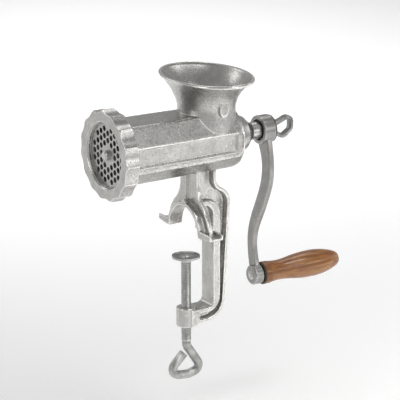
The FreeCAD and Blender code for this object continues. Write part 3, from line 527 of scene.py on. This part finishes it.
def make_clamp_screw(material):
    """Clamp screw with a real thread between its shoulder and its loop."""
    shape = copied_mesh(["clamp_screw"])
    for height in (THREAD_TOP, THREAD_BOTTOM):
        bmesh.ops.bisect_plane(
            shape,
            geom=list(shape.verts) + list(shape.edges) + list(shape.faces),
            plane_co=(0, 0, height),
            plane_no=(0, 0, 1),
        )
    plain_shank = [
        face for face in shape.faces
        if THREAD_BOTTOM < face.calc_center_median().z < THREAD_TOP
    ]
    bmesh.ops.delete(shape, geom=plain_shank, context="FACES")
    bmesh.ops.holes_fill(shape, edges=shape.edges)
    add_thread(shape)
    piece = new_piece("threaded_clamp_screw", shape, "screw", material)
    shade_curves(piece.data)
    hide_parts("clamp_screw")


def finish_node(node, material):
    """Gives a CAD node a finer material, and smooth shading on its curved faces."""
    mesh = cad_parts[node].data
    mesh.materials.clear()
    mesh.materials.append(material)
    shade_curves(mesh)


def floor_material():
    """Pale matt floor, which glows a little for the camera, metal and glass."""
    material = bpy.data.materials.new("floor")
    material.use_nodes = True
    tree = material.node_tree
    shader = tree.nodes["Principled BSDF"]
    shader.inputs["Base Color"].default_value = FLOOR_COLOUR
    shader.inputs["Roughness"].default_value = FLOOR_ROUGHNESS
    shader.inputs["Specular IOR Level"].default_value = FLOOR_SHINE
    shader.inputs["Emission Color"].default_value = WHITE
    seen_by = tree.nodes.new("ShaderNodeLightPath")
    glow = seen_by.outputs["Is Camera Ray"]
    for ray in ("Is Glossy Ray", "Is Transmission Ray"):
        either = tree.nodes.new("ShaderNodeMath")
        either.operation = "MAXIMUM"
        tree.links.new(glow, either.inputs[0])
        tree.links.new(seen_by.outputs[ray], either.inputs[1])
        glow = either.outputs[0]
    strength = tree.nodes.new("ShaderNodeMath")
    strength.operation = "MULTIPLY"
    strength.inputs[1].default_value = FLOOR_GLOW
    tree.links.new(glow, strength.inputs[0])
    tree.links.new(strength.outputs[0], shader.inputs["Emission Strength"])
    return material


def make_floor():
    """Pale floor below the object, which hangs on its clamp."""
    half = FLOOR_HALF_WIDTH
    level = cad_box[0].z - FLOOR_DROP
    mesh = bpy.data.meshes.new("floor")
    mesh.from_pydata(
        [(-half, -half, level), (half, -half, level), (half, half, level), (-half, half, level)],
        [],
        [(0, 1, 2, 3)],
    )
    floor = bpy.data.objects.new("floor", mesh)
    bpy.context.scene.collection.objects.link(floor)
    mesh.materials.append(floor_material())


def make_world():
    """Grey surrounding, brighter near the horizon than overhead."""
    world = bpy.data.worlds.new("studio")
    world.use_nodes = True
    tree = world.node_tree
    direction = tree.nodes.new("ShaderNodeTexCoord")
    height = tree.nodes.new("ShaderNodeSeparateXYZ")
    tree.links.new(direction.outputs["Generated"], height.inputs["Vector"])
    level = tree.nodes.new("ShaderNodeMapRange")
    level.inputs["From Min"].default_value = 0.0
    level.inputs["From Max"].default_value = 1.0
    level.inputs["To Min"].default_value = WORLD_HORIZON
    level.inputs["To Max"].default_value = WORLD_ZENITH
    tree.links.new(height.outputs["Z"], level.inputs["Value"])
    tree.links.new(level.outputs["Result"], tree.nodes["Background"].inputs["Strength"])
    tree.nodes["Background"].inputs["Color"].default_value = WHITE
    bpy.context.scene.world = world


def make_lamp(name, place, target, size, radiance, spread=180.0):
    """Soft lamp that points at a place, with the radiance of its face and its beam's angle in degrees."""
    data = bpy.data.lights.new(name, "AREA")
    data.shape = "RECTANGLE"
    data.size, data.size_y = size
    data.energy = radiance * math.pi * size[0] * size[1]
    data.spread = math.radians(spread)
    lamp = bpy.data.objects.new(name, data)
    bpy.context.scene.collection.objects.link(lamp)
    lamp.visible_camera = False
    lamp.location = place
    lamp.rotation_mode = "QUATERNION"
    lamp.rotation_quaternion = (Vector(target) - Vector(place)).to_track_quat("-Z", "Y")


def make_lights():
    """Plain studio light: soft lamps around, and two that light the floor for the metal to mirror."""
    make_lamp("front_high", (0.3, -1.2, 0.7), LAMP_TARGET, (0.6, 0.3), radiance=2.6)
    make_lamp("front_strip", (0.55, -0.95, 0.27), LAMP_TARGET, (0.9, 0.1), radiance=4.0)
    make_lamp("top_strip", (0.62, 0.45, 0.95), LAMP_TARGET, (0.2, 0.2), radiance=3.0)
    make_lamp("left", (-1.3, -0.2, 0.4), LAMP_TARGET, (0.5, 0.6), radiance=2.2)
    make_lamp("right", (1.3, -0.2, 0.3), LAMP_TARGET, (0.5, 0.5), radiance=1.1)
    make_lamp("rim", (-0.65, 1.2, 0.75), LAMP_TARGET, (0.4, 0.4), radiance=2.0)
    make_lamp("back_left_low", (-0.9, 0.9, 0.1), LAMP_TARGET, (0.5, 0.4), radiance=0.5)
    make_lamp("floor_front", (0.35, -0.5, 0.75), (0.32, -0.46, 0.0), (0.4, 0.4), radiance=2.7, spread=70.0)
    make_lamp("floor_back", (0.5, 1.0, 1.1), (0.5, 1.01, 0.0), (1.2, 1.4), radiance=0.95, spread=90.0)


bpy.context.scene.view_settings.view_transform = "Standard"
make_camera()
make_floor()
make_world()
make_lights()

aluminium = cast_metal("cast_aluminium", (0.68, 0.67, 0.645), (0.48, 0.472, 0.455), 0.22, 0.36)
dull_aluminium = cast_metal("dull_cast_aluminium", (0.43, 0.425, 0.41), (0.3, 0.295, 0.285), 0.28, 0.42)
disc_steel = machined_metal("disc_steel", (0.46, 0.455, 0.44), (0.34, 0.335, 0.325), 0.38)
bright_steel = machined_metal("bright_steel", (0.62, 0.61, 0.6), (0.48, 0.475, 0.46), 0.3)
plate_steel = machined_metal("plate_steel", (0.42, 0.42, 0.41), (0.2, 0.197, 0.19), 0.36)
zinc_steel = machined_metal("zinc_steel", (0.56, 0.56, 0.55), (0.36, 0.355, 0.34), 0.36)
# Near-black metal for the three washers that sit at dark lines between parts
dark_steel = machined_metal("dark_steel", (0.09, 0.085, 0.08), (0.045, 0.042, 0.04), 0.42)
bronze = machined_metal("bronze", (0.6, 0.4, 0.2), (0.42, 0.27, 0.13), 0.4)
wood = varnished_wood("varnished_wood")
fibre = pressed_fibre("fibre")

NODE_MATERIALS = {
    "shaft_bush": bronze,
    "thrust_washer": fibre,
    "disc_key_pin": bright_steel,
    "feed_screw": aluminium,
    "knife_stud": bright_steel,
    "drive_shaft": bright_steel,
    "cutting_knife": bright_steel,
    "hole_disc": disc_steel,
    "crank_washer": dark_steel,
    "wing_screw": plate_steel,
    "grip_spindle": bright_steel,
    "spindle_washer": dark_steel,
    "wooden_grip": wood,
    "grip_end_washer": dark_steel,
    "clamp_plate": plate_steel,
    "plate_rivet": bright_steel,
}
for node_name, node_material in NODE_MATERIALS.items():
    finish_node(node_name, node_material)

rounded_casting(
    "grinder_casting",
    ["barrel_housing", "feed_hopper", "support_legs", "clamp_frame"],
    "housing",
    aluminium,
    CASTING_CELL,
    smooth_rounds=6,
    keep_share=0.3,
    fillets=True,
)
rounded_casting(
    "cast_ring_nut",
    ["ring_nut"],
    "nut",
    aluminium,
    FINE_CASTING_CELL,
    smooth_rounds=5,
    keep_share=0.35,
)
rounded_casting(
    "cast_crank",
    ["crank_arm"],
    "rotor",
    dull_aluminium,
    FINE_CASTING_CELL,
    smooth_rounds=4,
    keep_share=0.5,
)
make_clamp_screw(zinc_steel)
